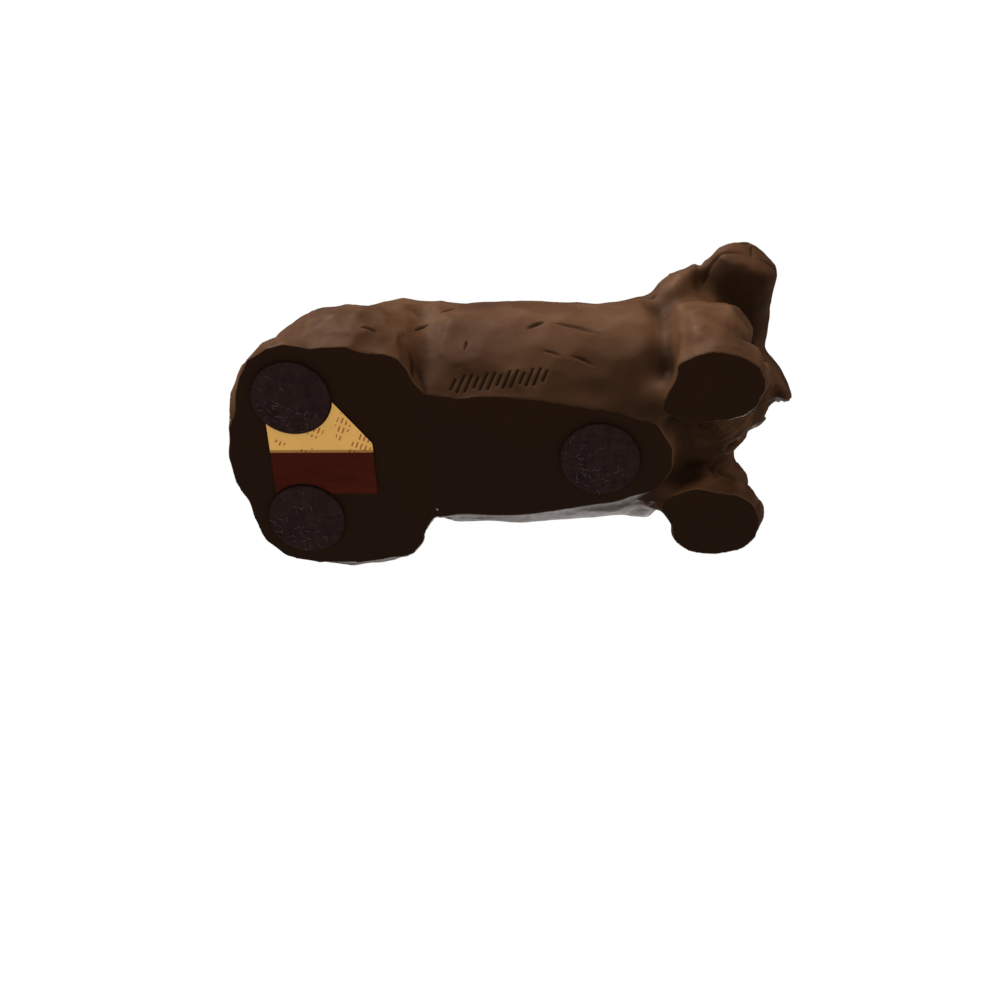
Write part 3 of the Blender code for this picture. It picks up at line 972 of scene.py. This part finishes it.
def felt_disc(low, high, unevenness, draw):
    """Disc of felt with a soft uneven rim and a lumpy underside."""
    middle = (low + high) / 2
    radius = (high.x - low.x) / 2
    thick = high.z - low.z
    form = bmesh.new()
    bmesh.ops.create_circle(
        form, cap_ends=True, segments=DISC_SIDES, radius=radius,
        matrix=Matrix.Translation((middle.x, middle.y, low.z)))
    inner = form.faces[:]
    for _ in range(DISC_RINGS):
        bmesh.ops.inset_region(form, faces=inner, thickness=radius / (DISC_RINGS + 2))
    bmesh.ops.recalc_face_normals(form, faces=form.faces)
    sheet = form.faces[:]
    top = bmesh.ops.extrude_face_region(form, geom=sheet)["geom"]
    lifted = [item for item in top if isinstance(item, bmesh.types.BMVert)]
    bmesh.ops.translate(form, vec=(0, 0, thick), verts=lifted)
    walls = [edge for edge in form.edges if abs(edge.verts[0].co.z - edge.verts[1].co.z) > thick / 2]
    bmesh.ops.subdivide_edges(form, edges=walls, cuts=RIM_CUTS)
    bmesh.ops.recalc_face_normals(form, faces=form.faces)
    shift = Vector((draw.uniform(0, 9), draw.uniform(0, 9), draw.uniform(0, 9)))
    for vert in form.verts:
        share = (vert.co.z - low.z) / thick
        flat = Vector((vert.co.x - middle.x, vert.co.y - middle.y, 0.0))
        near_rim = max(0.0, flat.length / radius - 0.9) / 0.1
        rough = noise.noise(vert.co * 900 + shift) * 0.5 + noise.noise(vert.co * 2600 + shift) * 0.5
        pinch = 0.030 * (2 * share - 1) ** 4 + 0.012 + 0.012 * rough
        vert.co -= flat * (pinch * near_rim)
        if share < 0.5:
            lump = 0.5 + 0.5 * noise.noise(vert.co * 420 + shift) + 0.35 * rough
            vert.co.z += unevenness * max(0.0, lump) * (1 - 2 * share)
            vert.co.z += 0.30 * MM * near_rim ** 2 * (1 - 2 * share)
    return form


def loose_threads(low, high, count, draw):
    """Short curled threads of fluff caught on the underside of a pad."""
    middle = (low + high) / 2
    radius = (high.x - low.x) / 2
    form = bmesh.new()
    for _ in range(count):
        around = draw.gauss(2.6, 1.1)
        out = radius * draw.uniform(0.25, 0.93)
        place = Vector((
            middle.x + out * math.cos(around), middle.y + out * math.sin(around), low.z + 0.07 * MM))
        heading = draw.uniform(0, math.tau)
        thread = draw.uniform(0.5, 1.7) * MM
        bend = draw.uniform(-2.0, 2.0)
        loops = []
        for step in range(5):
            ahead = Vector((math.cos(heading), math.sin(heading), 0.0))
            spin = Matrix((Vector((0, 0, 1)), ahead.cross(Vector((0, 0, 1))), ahead)).transposed().to_4x4()
            ring = bmesh.ops.create_circle(
                form, cap_ends=step in (0, 4), segments=4, radius=0.05 * MM,
                matrix=Matrix.Translation(place) @ spin)
            loops.append(list({edge for vert in ring["verts"] for edge in vert.link_edges}))
            place = place + ahead * (thread / 4)
            heading += bend / 4
        for near, far in zip(loops, loops[1:]):
            bmesh.ops.bridge_loops(form, edges=near + far)
    bmesh.ops.recalc_face_normals(form, faces=form.faces)
    return form


class DACHSHUND_OT_carve_casting(bpy.types.Operator):
    """Carve the casting: knife cuts, fur, paws, face, nicks and wear"""

    bl_idname = "dachshund.carve_casting"
    bl_label = "Carve Casting"

    def execute(self, context):
        sizes = context.scene.dachshund_skin
        draw = random.Random(11)
        mesh = even_skin(sizes)
        form = bmesh.new()
        form.from_mesh(mesh)
        skin = Skin(form, hollow_share(mesh))
        middle, reach, rounds = MUZZLE_ROUNDED
        skin.soften(Vector(on_head(middle)) * MM, reach * MM, rounds)
        skin.cut_facets(sizes.cut_long, sizes.cut_depth, sizes.cut_lean, draw, 2.0, 0.8)
        skin.cut_facets(sizes.fine_cut_long, sizes.fine_cut_depth, 0.5 * sizes.cut_lean, draw, 1.3, 0.3)
        bmesh.ops.smooth_vert(
            form, verts=form.verts, factor=0.12, use_axis_x=True, use_axis_y=True, use_axis_z=True)
        skin.settle()
        middle, reach, rounds = SHOULDER_ROUNDED
        skin.soften(Vector(middle) * MM, reach * MM, rounds)
        for pixel, reach in SMOOTH_HOLLOWS:
            skin.soften(skin.seen(pixel), reach * MM, HOLLOW_ROUNDS)
        strokes = [skin.seen(STROKES_FROM.lerp(STROKES_TO, step / 8)) for step in range(9)]
        skin.refine([Vector(on_head(FINE_HEAD[0])) * MM], FINE_HEAD[1] * MM)
        skin.refine([Vector(FINE_CHEST[0]) * MM], FINE_CHEST[1] * MM)
        for reach in FINE_STROKES:
            skin.refine(strokes, reach * MM)
        carve_fur(skin, draw)
        carve_paws(skin)
        carve_head(skin)
        carve_ears(skin)
        carve_tail(skin)
        carve_strokes(skin, draw)
        flatten_base(form)
        form.to_mesh(mesh)
        form.free()
        mark_bends(mesh)
        mesh.shade_smooth()
        for face in mesh.polygons:
            face.use_smooth = face.center.z > BASE_HEIGHT + 0.01 * MM
        mesh.set_sharp_from_angle(angle=CREASE_ANGLE)
        finished_mesh("carved_dachshund", mesh, resin_finish(sizes), "dachshund_casting")
        return {"FINISHED"}


class DACHSHUND_OT_lay_pads(bpy.types.Operator):
    """Make the felt pads and the fluff on them"""

    bl_idname = "dachshund.lay_pads"
    bl_label = "Lay Felt Pads"

    def execute(self, context):
        sizes = context.scene.dachshund_pads
        felt = felt_finish(sizes)
        fluff = fluff_finish(sizes)
        draw = random.Random(23)
        for place in ("front", "rear_left", "rear_right"):
            low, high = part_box(f"felt_pad_{place}")
            disc = felt_disc(low, high, sizes.unevenness, draw)
            finished_piece(f"felt_disc_{place}", disc, felt, f"felt_pad_{place}")
            threads = loose_threads(low, high, sizes.fluff_count, draw)
            finished_piece(f"fluff_{place}", threads, fluff)
        return {"FINISHED"}


class DACHSHUND_OT_lay_sticker(bpy.types.Operator):
    """Lay the paper sticker beside the rear pads"""

    bl_idname = "dachshund.lay_sticker"
    bl_label = "Lay Sticker"

    def execute(self, context):
        form = bmesh.new()
        form.from_mesh(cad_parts["paper_sticker"].data)
        bmesh.ops.remove_doubles(form, verts=form.verts, dist=MERGE_REACH)
        bmesh.ops.dissolve_limit(form, angle_limit=math.radians(1), verts=form.verts, edges=form.edges)
        low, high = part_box("paper_sticker")
        thin = 0.12 * MM
        for vert in form.verts:
            if vert.co.z < (low.z + high.z) / 2:
                vert.co.z = high.z - thin
        bmesh.ops.bevel(
            form, geom=form.edges[:], offset=0.04 * MM, affect="EDGES", segments=2, profile=0.5, material=-1)
        finish = paper_finish(context.scene.dachshund_sticker)
        finished_piece("cream_sticker", form, finish, "paper_sticker")
        return {"FINISHED"}


class DACHSHUND_OT_set_stage(bpy.types.Operator):
    """Set the floor, the lights, the air and the camera"""

    bl_idname = "dachshund.set_stage"
    bl_label = "Set Stage"

    def execute(self, context):
        stage = context.scene.dachshund_stage
        form = bmesh.new()
        bmesh.ops.create_grid(form, x_segments=1, y_segments=1, size=FLOOR_HALF)
        mesh = bpy.data.meshes.new("pale_floor")
        form.to_mesh(mesh)
        form.free()
        mesh.materials.append(floor_finish(stage))
        floor = bpy.data.objects.new("pale_floor", mesh)
        context.scene.collection.objects.link(floor)
        # The floor shows the figure's shadow, but neither lights nor shades the figure
        for ray in ("diffuse", "glossy", "transmission", "shadow"):
            setattr(floor, f"visible_{ray}", False)
        for name, direction, share, glossy in LAMPS:
            self.lamp(name, direction, stage.key * share, glossy)
        self.air(context.scene, stage.air, stage.gloss)
        self.camera(context.scene)
        context.scene.view_settings.view_transform = "Standard"
        return {"FINISHED"}

    @staticmethod
    def lamp(name, direction, strength, glossy):
        """Broad far lamp, so that the floor is lit evenly and shadows are soft."""
        light = bpy.data.lights.new(name, "SUN")
        light.energy = strength
        light.angle = LAMP_ANGLE
        lamp = bpy.data.objects.new(name, light)
        bpy.context.scene.collection.objects.link(lamp)
        lamp.rotation_euler = Vector(direction).to_track_quat("Z", "Y").to_euler()
        lamp.visible_glossy = glossy

    @staticmethod
    def air(scene, strength, gloss):
        """Even light from all round, dimmer in the gloss, and a white ground behind the figure."""
        world = bpy.data.worlds.new("studio_air")
        world.use_nodes = True
        finish = Finish(world)
        path = finish.node("ShaderNodeLightPath", {}, {})
        white = (1.0, 1.0, 1.0, 1.0)
        shown = finish.node("ShaderNodeBackground", {}, {"Color": white, "Strength": strength})[0]
        for ray, power in (("Is Glossy Ray", gloss), ("Is Camera Ray", 1.0)):
            glow = finish.node("ShaderNodeBackground", {}, {"Color": white, "Strength": power})[0]
            shown = finish.node("ShaderNodeMixShader", {}, {0: path[ray], 1: shown, 2: glow})[0]
        finish.node("ShaderNodeOutputWorld", {}, {"Surface": shown})
        scene.world = world

    @staticmethod
    def camera(scene):
        """The photograph's camera."""
        lens = bpy.data.cameras.new("photo_camera")
        lens.sensor_width = SENSOR_SIDE
        lens.lens = FOCAL_LENGTH * SENSOR_SIDE / PHOTO_SIDE
        lens.clip_start = 0.01
        camera = bpy.data.objects.new("photo_camera", lens)
        scene.collection.objects.link(camera)
        camera.matrix_world = camera_matrix()
        scene.camera = camera


STEPS = (DACHSHUND_OT_carve_casting, DACHSHUND_OT_lay_pads, DACHSHUND_OT_lay_sticker, DACHSHUND_OT_set_stage)
SETTINGS = {
    "dachshund_skin": DachshundSkin,
    "dachshund_pads": DachshundPads,
    "dachshund_sticker": DachshundSticker,
    "dachshund_stage": DachshundStage,
}


class DACHSHUND_PT_panel(bpy.types.Panel):
    """Lists the figure's settings and its steps"""

    bl_idname = "DACHSHUND_PT_panel"
    bl_label = "Dachshund"
    bl_space_type = "VIEW_3D"
    bl_region_type = "UI"
    bl_category = "Dachshund"

    def draw(self, context):
        for name, step in zip(SETTINGS, STEPS):
            box = self.layout.box()
            group = getattr(context.scene, name)
            for entry in group.__annotations__:
                box.prop(group, entry)
            box.operator(step.bl_idname)


CLASSES = (*SETTINGS.values(), *STEPS, DACHSHUND_PT_panel)


def register():
    for item in CLASSES:
        bpy.utils.register_class(item)
    for name, group in SETTINGS.items():
        setattr(bpy.types.Scene, name, bpy.props.PointerProperty(type=group))


def unregister():
    for name in SETTINGS:
        delattr(bpy.types.Scene, name)
    for item in reversed(CLASSES):
        bpy.utils.unregister_class(item)


def main():
    register()
    bpy.ops.dachshund.carve_casting()
    bpy.ops.dachshund.lay_pads()
    bpy.ops.dachshund.lay_sticker()
    bpy.ops.dachshund.set_stage()


if __name__ == "__main__":
    main()
